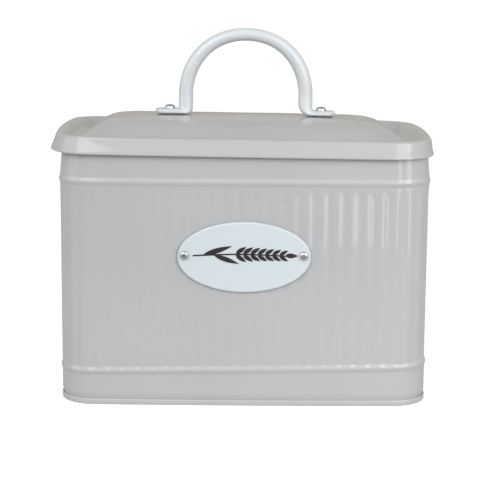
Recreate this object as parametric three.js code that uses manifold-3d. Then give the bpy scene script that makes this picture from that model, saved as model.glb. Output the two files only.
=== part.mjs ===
// Upright storage tin for crispbread: a rolled sheet body with two swaged beads and fine upright
// flutes, a double-seamed bottom, a lift-off domed lid with an arched carrying handle, and an oval
// plate screwed to the front.
//
// Millimetres, +Z up. The front faces -Y, and left and right are as seen from the front.
// The origin is the middle of the flat foot that the tin stands on.

import * as THREE from 'three';
import { mergeGeometries, mergeVertices } from 'three/addons/utils/BufferGeometryUtils.js';
import Module from 'manifold-3d';

const wasm = await Module();
wasm.setup();

// ---- Driving dimensions ----------------------------------------------------------------------

const GAP = 0.3; // clearance between pieces that touch
const SHEET = 0.8; // thickness of the body and lid sheet

const BODY_WIDTH = 210.6;
const BODY_DEPTH = 124;
const BODY_CORNER = 18.5; // plan radius of the upright corners
const FRONT_BOW = 1.5; // how far the front and back panels swell at their middle
const SIDE_BOW = 2.3; // the same for the two narrow sides

const BEAD_HEIGHT = 0.8; // how far a swaged bead stands proud
const BEAD_HALF_WIDTH = 2.4;
const LOWER_BEAD_Z = 21.2;
const UPPER_BEAD_Z = 129.2;

const FLUTE_PITCH = 8.4;
const FLUTE_HALF_WIDTH = 2.7;
const FLUTE_DEPTH = 0.4;
const FLUTE_LOW_Z = LOWER_BEAD_Z + BEAD_HALF_WIDTH + 1;
const FLUTE_HIGH_Z = UPPER_BEAD_Z - BEAD_HALF_WIDTH - 1;

const MOUTH_ROLL_RADIUS = 0.85; // edge curled inwards round the mouth
const MOUTH_ROLL_Z = 151.5;
const MOUTH_INSET = 0.6; // how far the wall leans in between the upper bead and the mouth

const LOCK_SEAM_WIDTH = 7; // folded joint down the middle of the back
const LOCK_SEAM_PROUD = 0.45;

const SEAM_BAND_HEIGHT = 3.4; // double seam round the foot
const SEAM_BAND_PROUD = 0.5;
const FOOT_INSET = 0.6; // the wall steps in here for the seam band
const PAN_SHEET = 0.6;
const PAN_RISE = 3.1; // underside of the bottom panel above the table

const LID_HALF_X = 108; // lower edge of the skirt
const LID_HALF_Y = 65.75;
const LID_CORNER = 23;
const LID_SIDE_BOW = 3.5;
const LID_SKIRT_Z = 143.8;
const LID_HEM_THICKNESS = 1.4;
const RIM_TOP_Z = 154; // crest of the rim that straddles the mouth roll
const HEM_ARCH = 1.8; // how far the skirt's edge arches up at the middle of the two ends
const RIM_ARCH = 1.3; // the same for the rim
const VALLEY_Z = 149.4;
const DOME_HALF_X = 97; // foot of the dome
const DOME_HALF_Y = 52;
const DOME_CORNER = 24;
const DOME_SIDE_BOW = 2;
const DOME_REACH = 30; // from its foot to where the dome is nearly flat
const DOME_TOP_Z = 162;
const CROWN_SAG = 1.2; // how far the nearly flat top falls from its middle

const ROD_RADIUS = 4.2; // handle
const ARCH_RADIUS = 36; // centre line of the arch
const ARCH_CENTRE_Z = 173.7;
const TAB_LENGTH = 21;
const TAB_WIDTH = 13;
const TAB_THICKNESS = 3.1;
const TAB_END_X = 54;
const HANDLE_SCREW_X = 45.5;

const PLATE_WIDTH = 75.4;
const PLATE_HEIGHT = 40.4;
const PLATE_THICKNESS = 1.2;
const PLATE_Z = 87.1;
const PLATE_SCREW_X = 33.7;
const PLATE_SCREW_Z = 88.2;

const HANDLE_SCREW = { shank: 1.5, length: 9, head: 3.1, height: 2.3, nut: 2.75, nutHeight: 2.4 };
const PLATE_SCREW = { shank: 1.2, length: 7.4, head: 2.45, height: 1.5, nut: 2.3, nutHeight: 2 };
const WASHER_THICKNESS = 0.6;

// Facets: along a corner, a broad panel, a narrow side, and round a screw or a hole.
const CORNER_STEPS = 6;
const PANEL_STEPS = 6;
const SIDE_STEPS = 3;
const ROUND_STEPS = 16;

// ---- Colours ---------------------------------------------------------------------------------

const enamel = { color: 0xbdbdba, roughness: 0.32, metalness: 0.1 };
const lidEnamel = { color: 0xbcbab6, roughness: 0.34, metalness: 0.1 };
const handleEnamel = { color: 0xdde2e3, roughness: 0.3, metalness: 0.05 };
const plateEnamel = { color: 0xe6eaea, roughness: 0.2, metalness: 0 };
const brightSteel = { color: 0xc4c6c8, roughness: 0.28, metalness: 0.95 };

// ---- Closed meshes and booleans --------------------------------------------------------------

// Joins shared vertices and drops the triangles that a collapsed ring leaves behind.
function weld(geometry) {
  geometry.deleteAttribute('normal');
  geometry.deleteAttribute('uv');
  const welded = mergeVertices(geometry, 1e-4);
  const index = welded.getIndex().array;
  const kept = [];
  for (let i = 0; i < index.length; i += 3) {
    const [a, b, c] = [index[i], index[i + 1], index[i + 2]];
    if (a !== b && b !== c && c !== a) kept.push(a, b, c);
  }
  welded.setIndex(kept);
  return welded;
}

function toSolid(geometry) {
  const welded = weld(geometry);
  return new wasm.Manifold(new wasm.Mesh({
    numProp: 3,
    vertProperties: new Float32Array(welded.getAttribute('position').array),
    triVerts: new Uint32Array(welded.getIndex().array),
  }));
}

function toGeometry(solid) {
  const mesh = solid.getMesh();
  const geometry = new THREE.BufferGeometry();
  geometry.setAttribute('position', new THREE.BufferAttribute(mesh.vertProperties, 3));
  geometry.setIndex(new THREE.BufferAttribute(mesh.triVerts, 1));
  geometry.computeVertexNormals();
  return geometry;
}

// ---- Plan outlines and lofts -----------------------------------------------------------------

// A rounded rectangle with gently swelling sides, run counter-clockwise from the right side.
function planOutline({ halfX, halfY, corner, sideBow = SIDE_BOW }) {
  const points = [];
  const quarter = Math.PI / 2;
  for (let turn = 0; turn < 4; turn += 1) {
    const signX = turn === 0 || turn === 3 ? 1 : -1;
    const signY = turn < 2 ? 1 : -1;
    for (let step = 0; step <= CORNER_STEPS; step += 1) {
      const angle = quarter * (turn + step / CORNER_STEPS);
      points.push(new THREE.Vector2(
        signX * (halfX - corner) + corner * Math.cos(angle),
        signY * (halfY - corner) + corner * Math.sin(angle),
      ));
    }
    const between = turn % 2 === 0 ? PANEL_STEPS : SIDE_STEPS;
    const from = points[points.length - 1];
    const straight = turn % 2 === 0
      ? new THREE.Vector2(-2 * (halfX - corner) * signX, 0)
      : new THREE.Vector2(0, -2 * (halfY - corner) * signY);
    for (let step = 1; step < between; step += 1) {
      points.push(from.clone().addScaledVector(straight, step / between));
    }
  }
  const scale = halfX / (BODY_WIDTH / 2);
  return points.map((point) => {
    const u = point.x / halfX;
    const v = point.y / halfY;
    return new THREE.Vector2(
      point.x + scale * sideBow * u * (1 - v * v),
      point.y + scale * FRONT_BOW * v * (1 - u * u),
    );
  });
}

// The body's outline grown by an offset, at a height.
function bodyRing(offset, z) {
  const corner = BODY_CORNER + offset;
  return { halfX: BODY_WIDTH / 2 + offset, halfY: BODY_DEPTH / 2 + offset, corner, z };
}

// A ring shrunk to the axis, which closes the middle of a panel.
function axisRing(z) {
  return { halfX: 0, halfY: 0, corner: 0, z };
}

// How much of a ring's arch applies at a point: all of it in the middle of the two ends.
function archShare(point, ring) {
  const alongX = Math.abs(point.x) / ring.halfX;
  const alongY = point.y / (ring.halfY + 2);
  return Math.min(alongX, 1) ** 6 * (1 - alongY ** 2);
}

// A lathe whose turns follow the rounded rectangle instead of a circle.
function loft(rings) {
  const outlines = rings.map((ring) => (ring.halfX > 0 ? planOutline(ring) : null));
  const sides = outlines.find((outline) => outline !== null).length;
  const profile = rings.map((ring, level) => new THREE.Vector2(1, level));
  const geometry = new THREE.LatheGeometry(profile, sides);
  const position = geometry.getAttribute('position');
  for (let side = 0; side <= sides; side += 1) {
    rings.forEach((ring, level) => {
      const outline = outlines[level];
      const point = outline ? outline[side % sides] : new THREE.Vector2(0, 0);
      const rise = ring.arch ? ring.arch * archShare(point, ring) : 0;
      position.setXYZ(side * rings.length + level, point.x, point.y, ring.z + rise);
    });
  }
  return geometry;
}

// ---- Body ------------------------------------------------------------------------------------

// One swaged bead as offset and height pairs, from below to above.
function beadProfile(centreZ) {
  return [-1, -0.5, 0, 0.5, 1].map((t) => ({
    offset: BEAD_HEIGHT * Math.cos(t * Math.PI / 2) ** 2,
    z: centreZ + t * BEAD_HALF_WIDTH,
  }));
}

function bodyWall() {
  const foot = PAN_SHEET + GAP;
  const outer = [
    { offset: -FOOT_INSET, z: foot },
    { offset: -FOOT_INSET, z: SEAM_BAND_HEIGHT + GAP },
    { offset: 0, z: SEAM_BAND_HEIGHT + 3 },
    ...beadProfile(LOWER_BEAD_Z),
    ...beadProfile(UPPER_BEAD_Z),
  ];
  const inner = outer.map((point) => ({ offset: point.offset - SHEET, z: point.z })).reverse();
  const rollTurn = Math.PI * 1.4;
  const rollSteps = 8;
  const roll = [];
  for (let step = 0; step <= rollSteps; step += 1) {
    const angle = rollTurn * step / rollSteps;
    roll.push({
      offset: MOUTH_ROLL_RADIUS * (Math.cos(angle) - 1) - MOUTH_INSET,
      z: MOUTH_ROLL_Z + MOUTH_ROLL_RADIUS * Math.sin(angle),
    });
  }
  const profile = [...outer, ...roll, ...inner, outer[0]];
  return toSolid(loft(profile.map((point) => bodyRing(point.offset, point.z))));
}

// Positions and outward normals at equal steps along the body's outline.
function stepsAlongWall(pitch) {
  const outline = planOutline(bodyRing(0, 0));
  const loop = new THREE.Path(outline);
  loop.closePath();
  const count = Math.round(loop.getLength() / pitch);
  const places = [];
  for (let i = 0; i < count; i += 1) {
    const t = (i + 0.5) / count;
    const tangent = loop.getTangentAt(t);
    places.push({ at: loop.getPointAt(t), normal: new THREE.Vector2(tangent.y, -tangent.x) });
  }
  return places;
}

// Shallow V grooves between the two beads, all round except behind the lock seam.
function fluteCutters() {
  const above = 0.2;
  const topHalf = FLUTE_HALF_WIDTH * (FLUTE_DEPTH + above) / FLUTE_DEPTH;
  const section = new THREE.Shape([
    new THREE.Vector2(-topHalf, above),
    new THREE.Vector2(0, -FLUTE_DEPTH),
    new THREE.Vector2(topHalf, above),
  ]);
  const onSeam = (place) => place.at.y > 0 && Math.abs(place.at.x) < LOCK_SEAM_WIDTH;
  const grooves = stepsAlongWall(FLUTE_PITCH).filter((place) => !onSeam(place)).map((place) => {
    const groove = new THREE.ExtrudeGeometry(section, {
      depth: FLUTE_HIGH_Z - FLUTE_LOW_Z,
      bevelEnabled: false,
    });
    groove.rotateZ(Math.atan2(place.normal.y, place.normal.x) - Math.PI / 2);
    groove.translate(place.at.x, place.at.y, FLUTE_LOW_Z);
    return groove;
  });
  return toSolid(mergeGeometries(grooves));
}

function lockSeam() {
  const wallY = BODY_DEPTH / 2 + FRONT_BOW;
  const half = LOCK_SEAM_WIDTH / 2;
  const section = new THREE.Shape([
    new THREE.Vector2(-half, wallY - SHEET / 2),
    new THREE.Vector2(half, wallY - SHEET / 2),
    new THREE.Vector2(half - 0.3, wallY + LOCK_SEAM_PROUD),
    new THREE.Vector2(0.3 - half, wallY + LOCK_SEAM_PROUD),
  ]);
  const low = SEAM_BAND_HEIGHT + 2 * GAP;
  const high = MOUTH_ROLL_Z - MOUTH_ROLL_RADIUS;
  const seam = new THREE.ExtrudeGeometry(section, { depth: high - low, bevelEnabled: false });
  seam.translate(0, 0, low);
  return toSolid(seam);
}

// A round cutter along Y through the front wall and the plate at each plate screw.
function plateScrewHoles() {
  const holes = [-1, 1].map((side) => {
    const hole = new THREE.CylinderGeometry(
      PLATE_SCREW.shank + GAP,
      PLATE_SCREW.shank + GAP,
      12,
      ROUND_STEPS,
    );
    hole.translate(side * PLATE_SCREW_X, -BODY_DEPTH / 2, PLATE_SCREW_Z);
    return hole;
  });
  return toSolid(mergeGeometries(holes));
}

function bodyShell() {
  return bodyWall().subtract(fluteCutters()).add(lockSeam()).subtract(plateScrewHoles());
}

// The bottom panel, its chuck wall inside the body, and the seam band round the outside.
function bottomPan() {
  const chuckOuter = -FOOT_INSET - SHEET - GAP;
  const chuckInner = chuckOuter - SHEET;
  const bandInner = GAP - FOOT_INSET;
  const bandOuter = SEAM_BAND_PROUD;
  const panelTop = PAN_RISE + PAN_SHEET;
  const rings = [
    axisRing(panelTop),
    bodyRing(chuckOuter - 0.4, panelTop),
    bodyRing(chuckOuter, panelTop - 0.4),
    bodyRing(chuckOuter, PAN_SHEET),
    bodyRing(bandInner, PAN_SHEET),
    bodyRing(bandInner, SEAM_BAND_HEIGHT - 0.1),
    bodyRing(bandInner + 0.2, SEAM_BAND_HEIGHT),
    bodyRing(bandOuter - 0.3, SEAM_BAND_HEIGHT - 0.1),
    bodyRing(bandOuter, SEAM_BAND_HEIGHT - 0.5),
    bodyRing(bandOuter, 0.5),
    bodyRing(bandOuter - 0.15, 0.15),
    bodyRing(bandOuter - 0.5, 0),
    bodyRing(chuckInner + 0.3, 0),
    bodyRing(chuckInner, 0.3),
    bodyRing(chuckInner, PAN_RISE),
    axisRing(PAN_RISE),
  ];
  return toSolid(loft(rings.reverse()));
}

// ---- Lid -------------------------------------------------------------------------------------

// The skirt's outline grown by an offset, at a height, with its arch at the two ends.
function lidRing(offset, z, arch = 0) {
  return {
    halfX: LID_HALF_X + offset,
    halfY: LID_HALF_Y + offset,
    corner: LID_CORNER + offset,
    sideBow: LID_SIDE_BOW,
    z,
    arch,
  };
}

// Up the straight flared skirt to a crisp shoulder, over the rim, and down into the valley.
function lidEdgeRings() {
  return [
    lidRing(0, LID_SKIRT_Z + 0.2, HEM_ARCH),
    lidRing(0, LID_SKIRT_Z + 1.1, HEM_ARCH),
    lidRing(-1.1, LID_SKIRT_Z + 4.3, HEM_ARCH),
    lidRing(-2.55, RIM_TOP_Z - 1.3, RIM_ARCH),
    lidRing(-3, RIM_TOP_Z - 0.5, RIM_ARCH),
    lidRing(-3.8, RIM_TOP_Z - 0.1, RIM_ARCH),
    lidRing(-4.8, RIM_TOP_Z, RIM_ARCH),
    lidRing(-6, RIM_TOP_Z - 0.3, RIM_ARCH),
    lidRing(-7.2, RIM_TOP_Z - 1.2, 0.8 * RIM_ARCH),
    lidRing(-8.7, VALLEY_Z + 1.6, 0.5 * RIM_ARCH),
    lidRing(-10.4, VALLEY_Z + 0.5, 0.2 * RIM_ARCH),
    lidRing(-12.2, VALLEY_Z),
  ];
}

// The dome from its foot to the edge of its nearly flat top, then one ring on that top.
function domeRings() {
  const shoulderZ = DOME_TOP_Z - CROWN_SAG;
  const rise = shoulderZ - VALLEY_Z - 0.2;
  const flank = [0, 0.04, 0.12, 0.22, 0.36, 0.55, 0.78, 1].map((t) => ({
    halfX: DOME_HALF_X - DOME_REACH * t,
    halfY: DOME_HALF_Y - DOME_REACH * t,
    corner: DOME_CORNER - 0.4 * DOME_REACH * t,
    sideBow: DOME_SIDE_BOW,
    z: shoulderZ - rise * (1 - t) ** 3 * (1 + 1.5 * t),
  }));
  const edge = flank[flank.length - 1];
  const top = {
    halfX: 0.86 * edge.halfX,
    halfY: 0.5 * edge.halfY,
    corner: 0.5 * edge.corner,
    z: DOME_TOP_Z - CROWN_SAG / 4,
  };
  return [...flank, top];
}

// The same rings moved inwards and down by the sheet's thickness.
function lidUnderRings(rings) {
  return rings.map((ring, i) => {
    const before = rings[Math.max(i - 1, 0)];
    const after = rings[Math.min(i + 1, rings.length - 1)];
    const along = new THREE.Vector2(after.halfX - before.halfX, after.z - before.z).normalize();
    const shift = -SHEET * along.y;
    return {
      ...ring,
      halfX: ring.halfX + shift,
      halfY: ring.halfY + shift,
      corner: ring.corner + shift,
      z: ring.z + SHEET * along.x,
    };
  });
}

function lidShell() {
  const top = [...lidEdgeRings(), ...domeRings()];
  const under = lidUnderRings(top).slice(2);
  const hem = [
    lidRing(-LID_HEM_THICKNESS, LID_SKIRT_Z + 1.3, HEM_ARCH),
    lidRing(-LID_HEM_THICKNESS, LID_SKIRT_Z + 0.2, HEM_ARCH),
    lidRing(0.3 - LID_HEM_THICKNESS, LID_SKIRT_Z, HEM_ARCH),
    lidRing(-0.3, LID_SKIRT_Z, HEM_ARCH),
  ];
  const rings = [
    axisRing(DOME_TOP_Z - SHEET),
    ...under.reverse(),
    ...hem,
    ...top,
    axisRing(DOME_TOP_Z),
  ];
  const holes = [-1, 1].map((side) => {
    const hole = new THREE.CylinderGeometry(
      HANDLE_SCREW.shank + GAP,
      HANDLE_SCREW.shank + GAP,
      6,
      ROUND_STEPS,
    );
    hole.rotateX(Math.PI / 2);
    hole.translate(side * HANDLE_SCREW_X, 0, DOME_TOP_Z);
    return hole;
  });
  return toSolid(loft(rings)).subtract(toSolid(mergeGeometries(holes)));
}

// ---- Handle ----------------------------------------------------------------------------------

// Centre line of the rod: a leg, a half circle and the other leg, each leg kicked out at its foot.
function handleLine() {
  const tabZ = DOME_TOP_Z + GAP + TAB_THICKNESS / 2;
  const foot = (side) => [
    new THREE.Vector3(side * (ARCH_RADIUS + 1.5), 0, tabZ),
    new THREE.Vector3(side * (ARCH_RADIUS + 0.6), 0, tabZ + 3),
    new THREE.Vector3(side * (ARCH_RADIUS + 0.1), 0, tabZ + 6),
  ];
  const arch = [];
  const archSteps = 16;
  for (let step = 0; step <= archSteps; step += 1) {
    const angle = Math.PI * step / archSteps;
    arch.push(new THREE.Vector3(
      ARCH_RADIUS * Math.cos(angle),
      0,
      ARCH_CENTRE_Z + ARCH_RADIUS * Math.sin(angle),
    ));
  }
  return new THREE.CatmullRomCurve3([...foot(1), ...arch, ...foot(-1).reverse()], false, 'centripetal');
}

function handleRod() {
  const section = new THREE.Shape();
  section.absarc(0, 0, ROD_RADIUS, 0, 2 * Math.PI);
  return new THREE.ExtrudeGeometry(section, {
    steps: 40,
    curveSegments: 7,
    bevelEnabled: false,
    extrudePath: handleLine(),
  });
}

// One flattened end of the rod, with its screw hole.
function handleTab(side) {
  const edge = 0.5;
  const radius = TAB_WIDTH / 2 - edge;
  const outerX = TAB_END_X - TAB_WIDTH / 2;
  const innerX = outerX - (TAB_LENGTH - TAB_WIDTH);
  const outline = new THREE.Shape();
  outline.absarc(outerX, 0, radius, -Math.PI / 2, Math.PI / 2);
  outline.absarc(innerX, 0, radius, Math.PI / 2, 1.5 * Math.PI);
  outline.closePath();
  const hole = new THREE.Path();
  hole.absarc(HANDLE_SCREW_X, 0, HANDLE_SCREW.shank + GAP + edge, 0, 2 * Math.PI, true);
  outline.holes.push(hole);
  const tab = new THREE.ExtrudeGeometry(outline, {
    depth: TAB_THICKNESS - 2 * edge,
    curveSegments: 8,
    bevelThickness: edge,
    bevelSize: edge,
    bevelSegments: 1,
  });
  tab.translate(0, 0, DOME_TOP_Z + GAP + edge);
  if (side < 0) tab.rotateZ(Math.PI);
  return tab;
}

function handle() {
  const size = 4 * ARCH_RADIUS;
  const belowTabs = new THREE.BoxGeometry(size, size, 20);
  belowTabs.translate(0, 0, DOME_TOP_Z + GAP - 10);
  return toSolid(handleRod())
    .subtract(toSolid(belowTabs))
    .add(toSolid(handleTab(1)))
    .add(toSolid(handleTab(-1)));
}

// ---- Oval plate ------------------------------------------------------------------------------

function oval(halfWidth, halfHeight) {
  const outline = new THREE.Shape();
  outline.absellipse(0, 0, halfWidth, halfHeight, 0, 2 * Math.PI);
  return outline;
}

// Distance from the tin's middle to the plate's back face.
const PLATE_BACK_Y = BODY_DEPTH / 2 + FRONT_BOW + GAP;

function labelPlate() {
  const edge = 0.35;
  const plate = new THREE.ExtrudeGeometry(oval(PLATE_WIDTH / 2 - edge, PLATE_HEIGHT / 2 - edge), {
    depth: PLATE_THICKNESS - 2 * edge,
    curveSegments: 28,
    bevelThickness: edge,
    bevelSize: edge,
    bevelSegments: 1,
  });
  plate.rotateX(Math.PI / 2);
  plate.translate(0, -PLATE_BACK_Y - edge, PLATE_Z);
  return toSolid(plate).subtract(plateScrewHoles());
}

// ---- Fasteners -------------------------------------------------------------------------------

// A pan-head screw with a cross recess. Its head's seat is at the origin, and it points down -Z.
function panScrew({ shank, length, head, height }) {
  const profile = [
    [0, -length],
    [shank - 0.3, -length],
    [shank, 0.4 - length],
    [shank, 0],
    [head - 0.2, 0],
    [head, 0.2],
    [head, 0.4 * height],
    [0.86 * head, 0.75 * height],
    [0.55 * head, 0.96 * height],
    [0, height],
  ].map(([radius, z]) => new THREE.Vector2(radius, z));
  const screw = new THREE.LatheGeometry(profile, ROUND_STEPS);
  const slots = [0, Math.PI / 2].map((turn) => {
    const slot = new THREE.BoxGeometry(1.15 * head, 0.6 * height, 0.26 * head);
    slot.translate(0, height, 0);
    slot.rotateY(turn);
    return toSolid(slot);
  });
  const solid = toSolid(screw).subtract(slots[0]).subtract(slots[1]);
  return toGeometry(solid).rotateX(Math.PI / 2);
}

// A plate with a round hole, its top at the origin and its body below it on -Z.
function pierced(outline, bore, thickness) {
  const hole = new THREE.Path();
  hole.absarc(0, 0, bore, 0, 2 * Math.PI, true);
  outline.holes.push(hole);
  const plate = new THREE.ExtrudeGeometry(outline, {
    depth: thickness,
    curveSegments: ROUND_STEPS / 2,
    bevelEnabled: false,
  });
  return plate.translate(0, 0, -thickness);
}

function washer({ shank }) {
  const outline = new THREE.Shape();
  outline.absarc(0, 0, 2.3 * shank, 0, 2 * Math.PI);
  return pierced(outline, shank + GAP, WASHER_THICKNESS);
}

function hexNut({ shank, nut, nutHeight }) {
  const corners = [0, 1, 2, 3, 4, 5].map((i) => {
    const angle = i * Math.PI / 3;
    const reach = nut / Math.cos(Math.PI / 6);
    return new THREE.Vector2(reach * Math.cos(angle), reach * Math.sin(angle));
  });
  return pierced(new THREE.Shape(corners), shank + GAP, nutHeight);
}

// ---- Assembly --------------------------------------------------------------------------------

function piece(name, shape, finish) {
  const geometry = shape instanceof THREE.BufferGeometry ? shape : toGeometry(shape);
  const mesh = new THREE.Mesh(geometry, new THREE.MeshStandardMaterial(finish));
  mesh.name = name;
  return mesh;
}

// A screw, washer and nut on one axis. The stack points down -Z from the head's seat, and
// washerTop is how far below the seat the washer starts.
function fastener(prefix, side, size, washerTop) {
  const set = new THREE.Group();
  set.add(piece(`${prefix}_screw_${side}`, panScrew(size), brightSteel));
  const ring = piece(`${prefix}_washer_${side}`, washer(size), brightSteel);
  ring.position.z = -washerTop;
  const nut = piece(`${prefix}_nut_${side}`, hexNut(size), brightSteel);
  nut.position.z = -washerTop - WASHER_THICKNESS - GAP;
  set.add(ring, nut);
  return set;
}

const sides = [['left', -1], ['right', 1]];

const tin = new THREE.Group();
tin.add(piece('body_shell', bodyShell(), enamel));
tin.add(piece('bottom_pan', bottomPan(), enamel));
tin.add(piece('label_plate', labelPlate(), plateEnamel));
for (const [side, sign] of sides) {
  const seatY = PLATE_BACK_Y + PLATE_THICKNESS + GAP;
  const wallInnerY = BODY_DEPTH / 2 + FRONT_BOW - SHEET;
  const set = fastener('plate', side, PLATE_SCREW, seatY - wallInnerY + 2 * GAP);
  set.rotation.x = Math.PI / 2;
  set.position.set(sign * PLATE_SCREW_X, -seatY, PLATE_SCREW_Z);
  tin.add(set);
}

const lid = new THREE.Group();
lid.add(piece('lid_shell', lidShell(), lidEnamel));
lid.add(piece('handle', handle(), handleEnamel));
for (const [side, sign] of sides) {
  const seatZ = DOME_TOP_Z + GAP + TAB_THICKNESS + GAP;
  const lidUnderZ = DOME_TOP_Z - SHEET;
  const set = fastener('handle', side, HANDLE_SCREW, seatZ - lidUnderZ + GAP);
  set.position.set(sign * HANDLE_SCREW_X, 0, seatZ);
  lid.add(set);
}

const group = new THREE.Group();
group.add(tin, lid);

export default group;
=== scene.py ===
"""Looks of the crispbread tin: fine meshes, enamel and steel materials, soft studio light."""

import math

import bpy
import numpy as np
from mathutils import Euler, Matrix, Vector


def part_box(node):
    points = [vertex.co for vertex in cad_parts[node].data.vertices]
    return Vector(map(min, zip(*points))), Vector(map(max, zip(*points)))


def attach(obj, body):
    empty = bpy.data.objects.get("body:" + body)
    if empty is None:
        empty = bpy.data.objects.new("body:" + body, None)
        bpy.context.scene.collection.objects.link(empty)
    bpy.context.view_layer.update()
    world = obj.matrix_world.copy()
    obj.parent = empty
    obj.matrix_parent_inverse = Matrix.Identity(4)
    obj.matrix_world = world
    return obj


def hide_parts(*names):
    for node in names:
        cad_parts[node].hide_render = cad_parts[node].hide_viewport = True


MM = 0.001

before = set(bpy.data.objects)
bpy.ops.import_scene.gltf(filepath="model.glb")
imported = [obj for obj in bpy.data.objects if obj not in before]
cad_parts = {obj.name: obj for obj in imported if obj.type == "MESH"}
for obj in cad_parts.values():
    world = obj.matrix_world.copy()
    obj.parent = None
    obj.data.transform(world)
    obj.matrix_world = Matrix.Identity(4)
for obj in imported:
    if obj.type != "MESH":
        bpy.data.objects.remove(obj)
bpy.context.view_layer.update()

# ---- Sizes of the sheet metal, in millimetres ----------------------------------------------------

SHEET = 0.8
HALF_X = 105.05
HALF_Y = 62.0
FRONT_BOW = 1.5
SIDE_BOW = 2.3
BODY_CORNER = 18.5
BEAD_PROUD = 0.58
BEAD_HALF_WIDTH = 2.6
LOWER_BEAD_Z = 21.2
LOWER_BEAD_SLOPE = 0.017  # the lower bead was swaged a little out of level
UPPER_BEAD_Z = 129.2
FLUTE_PITCH = 8.4
FLUTE_DEPTH = 0.34
CURL_RADIUS = 0.85
MOUTH_INSET = 1.8  # above the upper bead the two ends lean in by this, the panels by half
MOUTH_DROP = 0.4  # the mouth lies this much below the CAD one
FOOT_INSET = 0.6  # the wall steps in by this for the double seam
SEAM_WIDTH = 7.0
SEAM_PROUD = 0.45
CLEARANCE = 0.3  # between the wall and the bottom pan
BAND_HEIGHT = 3.4
PAN_PROUD = 0.3
FOOT_DRAFT = 0.3  # the foot is this much narrower all round than the upper bead
PAN_SHEET = 0.6
PAN_RISE = 3.1
PANEL_START = -16  # where the pan's flat panel begins, from the wall inwards
LID_HALF_X = 107.8
LID_HALF_Y = 65.2
LID_CORNER = 22.0
LID_SIDE_BOW = 3.5
HEM_THICKNESS = 1.8
RIM_TOP_Z = 154.0
HEM_ARCH = 1.8
RIM_ARCH = 1.3
RIGHT_STEEPENING = 1.2  # the rim's right end stands this much further out
VALLEY_Z = 150
DOME_HALF_X = 96.6
DOME_HALF_Y = 51.5
DOME_CORNER = 22.0
DOME_SIDE_BOW = 2.0
DOME_REACH = 27.0
DOME_TIGHTENING = 0.4  # the dome's corners shrink by this share of its inset
CROWN_SAG = 1.2
LID_TILT = 0.6  # degrees, the right end down
LID_PLACE = (-1.3, 0)  # millimetres to the right and up
HANDLE_PLACE = (0.1, -0.6)  # the same for the handle and its fasteners
LID_BACK = 0.7  # millimetres to the back, for the lid and all that is on it


def mm_box(node):
    """The two corners of a CAD node's box, in millimetres."""
    low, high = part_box(node)
    return np.array(low) / MM, np.array(high) / MM


BODY_HIGH = mm_box("body_shell")[1]
PAN_LOW = mm_box("bottom_pan")[0]
LID_LOW, LID_HIGH = mm_box("lid_shell")
HANDLE_LOW, HANDLE_HIGH = mm_box("handle")
PLATE_LOW, PLATE_HIGH = mm_box("label_plate")

BAND_TOP_Z = PAN_LOW[2] + BAND_HEIGHT
MOUTH_Z = BODY_HIGH[2] - CURL_RADIUS - MOUTH_DROP
SKIRT_Z = LID_LOW[2]
DOME_TOP_Z = LID_HIGH[2]
PLATE_Z = (PLATE_LOW[2] + PLATE_HIGH[2]) / 2

# ---- Mesh helpers --------------------------------------------------------------------------------


def new_piece(name, vertices, faces, material, body, replaced=()):
    """A smooth mesh piece from vertices in millimetres, riding on a CAD body."""
    mesh = bpy.data.meshes.new(name)
    mesh.from_pydata((np.asarray(vertices) * MM).tolist(), [], faces)
    mesh.validate()
    mesh.polygons.foreach_set("use_smooth", [True] * len(mesh.polygons))
    mesh.materials.append(material)
    piece = bpy.data.objects.new(name, mesh)
    bpy.context.scene.collection.objects.link(piece)
    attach(piece, body)
    if replaced:
        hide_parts(*replaced)
    return piece


def crease(piece, degrees=32):
    """Keeps edges sharper than an angle crisp and shades the rest smoothly."""
    piece.data.set_sharp_from_angle(angle=math.radians(degrees))


def ring_faces(levels, sides, closed=False):
    """Quads between rings of equal count, facing out when the rings run upwards."""
    faces = []
    for j in range(levels if closed else levels - 1):
        a = j * sides
        b = ((j + 1) % levels) * sides
        for i in range(sides):
            k = (i + 1) % sides
            faces.append((a + i, a + k, b + k, b + i))
    return faces


def capped(rings, first_tip, last_tip):
    """Vertices and faces of rings closed by a tip at both ends."""
    sides = len(rings[0])
    vertices = np.vstack([*rings, [first_tip], [last_tip]])
    faces = ring_faces(len(rings), sides)
    low, high = len(vertices) - 2, len(vertices) - 1
    last = (len(rings) - 1) * sides
    for i in range(sides):
        k = (i + 1) % sides
        faces.append((k, i, low))
        faces.append((last + i, last + k, high))
    return vertices, faces


def smooth_profile(points, rounds=2):
    """Rounds a polyline by Chaikin's corner cutting and keeps its two ends."""
    line = np.array(points, float)
    for _ in range(rounds):
        near = 0.75 * line[:-1] + 0.25 * line[1:]
        far = 0.25 * line[:-1] + 0.75 * line[1:]
        middle = np.stack([near, far], axis=1).reshape(-1, line.shape[1])
        line = np.vstack([line[:1], middle, line[-1:]])
    return line


def smoothstep(low, high, value):
    """0 below a low value, 1 above a high one, and a smooth rise between them."""
    t = np.clip((value - low) / (high - low), 0, 1)
    return t * t * (3 - 2 * t)


def circle(sides):
    """Points on a circle of radius 1, counter-clockwise from the right side."""
    turns = np.arange(sides) / sides * 2 * math.pi
    return np.column_stack([np.cos(turns), np.sin(turns)])


# ---- Plan outlines -------------------------------------------------------------------------------

# Points along a corner, a broad panel and a narrow side.
FINE = (36, 270, 120)
SMOOTH = (24, 60, 32)


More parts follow.
